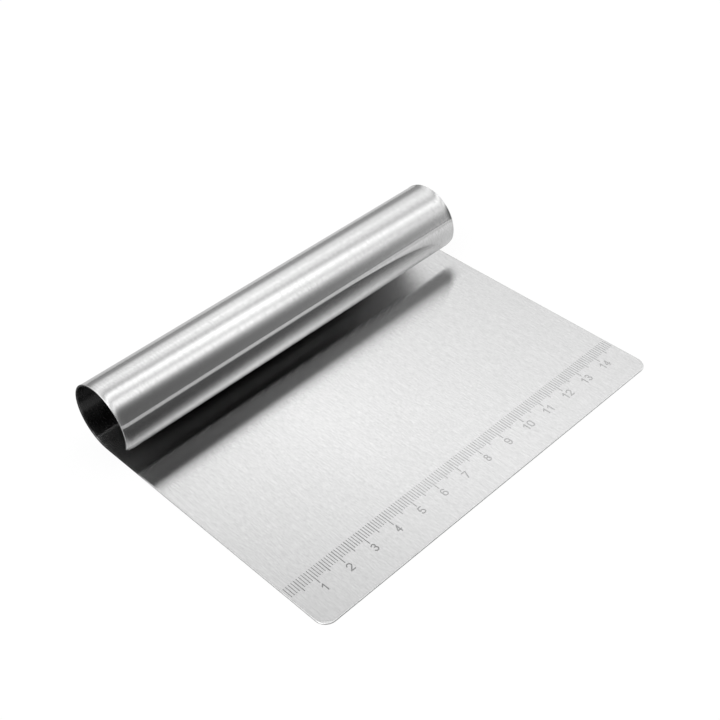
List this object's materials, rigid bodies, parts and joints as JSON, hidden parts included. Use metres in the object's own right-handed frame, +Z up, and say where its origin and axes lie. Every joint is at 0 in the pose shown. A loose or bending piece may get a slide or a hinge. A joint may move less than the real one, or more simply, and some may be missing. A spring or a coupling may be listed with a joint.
{
  "type": "dough scraper",
  "caption": "Dough scraper bent from one steel sheet, with a flat blade, an open rolled handle and a centimetre scale.",
  "frame": {"origin": "on the surface that the scraper lies on, under the middle of its box", "axes": "+X along the cutting edge, in the direction that the scale counts; +Y from the cutting edge to the rolled handle; +Z up, out of the face with the scale"},
  "size_m": [0.15, 0.114, 0.026],
  "materials": {
    "brushed_sheet": "brushed stainless steel, with the grain across the cutting edge on the blade and round the roll",
    "scale_dark": "thin matt dark layer marked on the steel"
  },
  "bodies": {
    "root": {"scraper_sheet": "brushed_sheet", "centimetre_marks": "scale_dark", "half_centimetre_marks": "scale_dark", "millimetre_marks": "scale_dark", "scale_numerals": "scale_dark"}
  },
  "joints": []
}
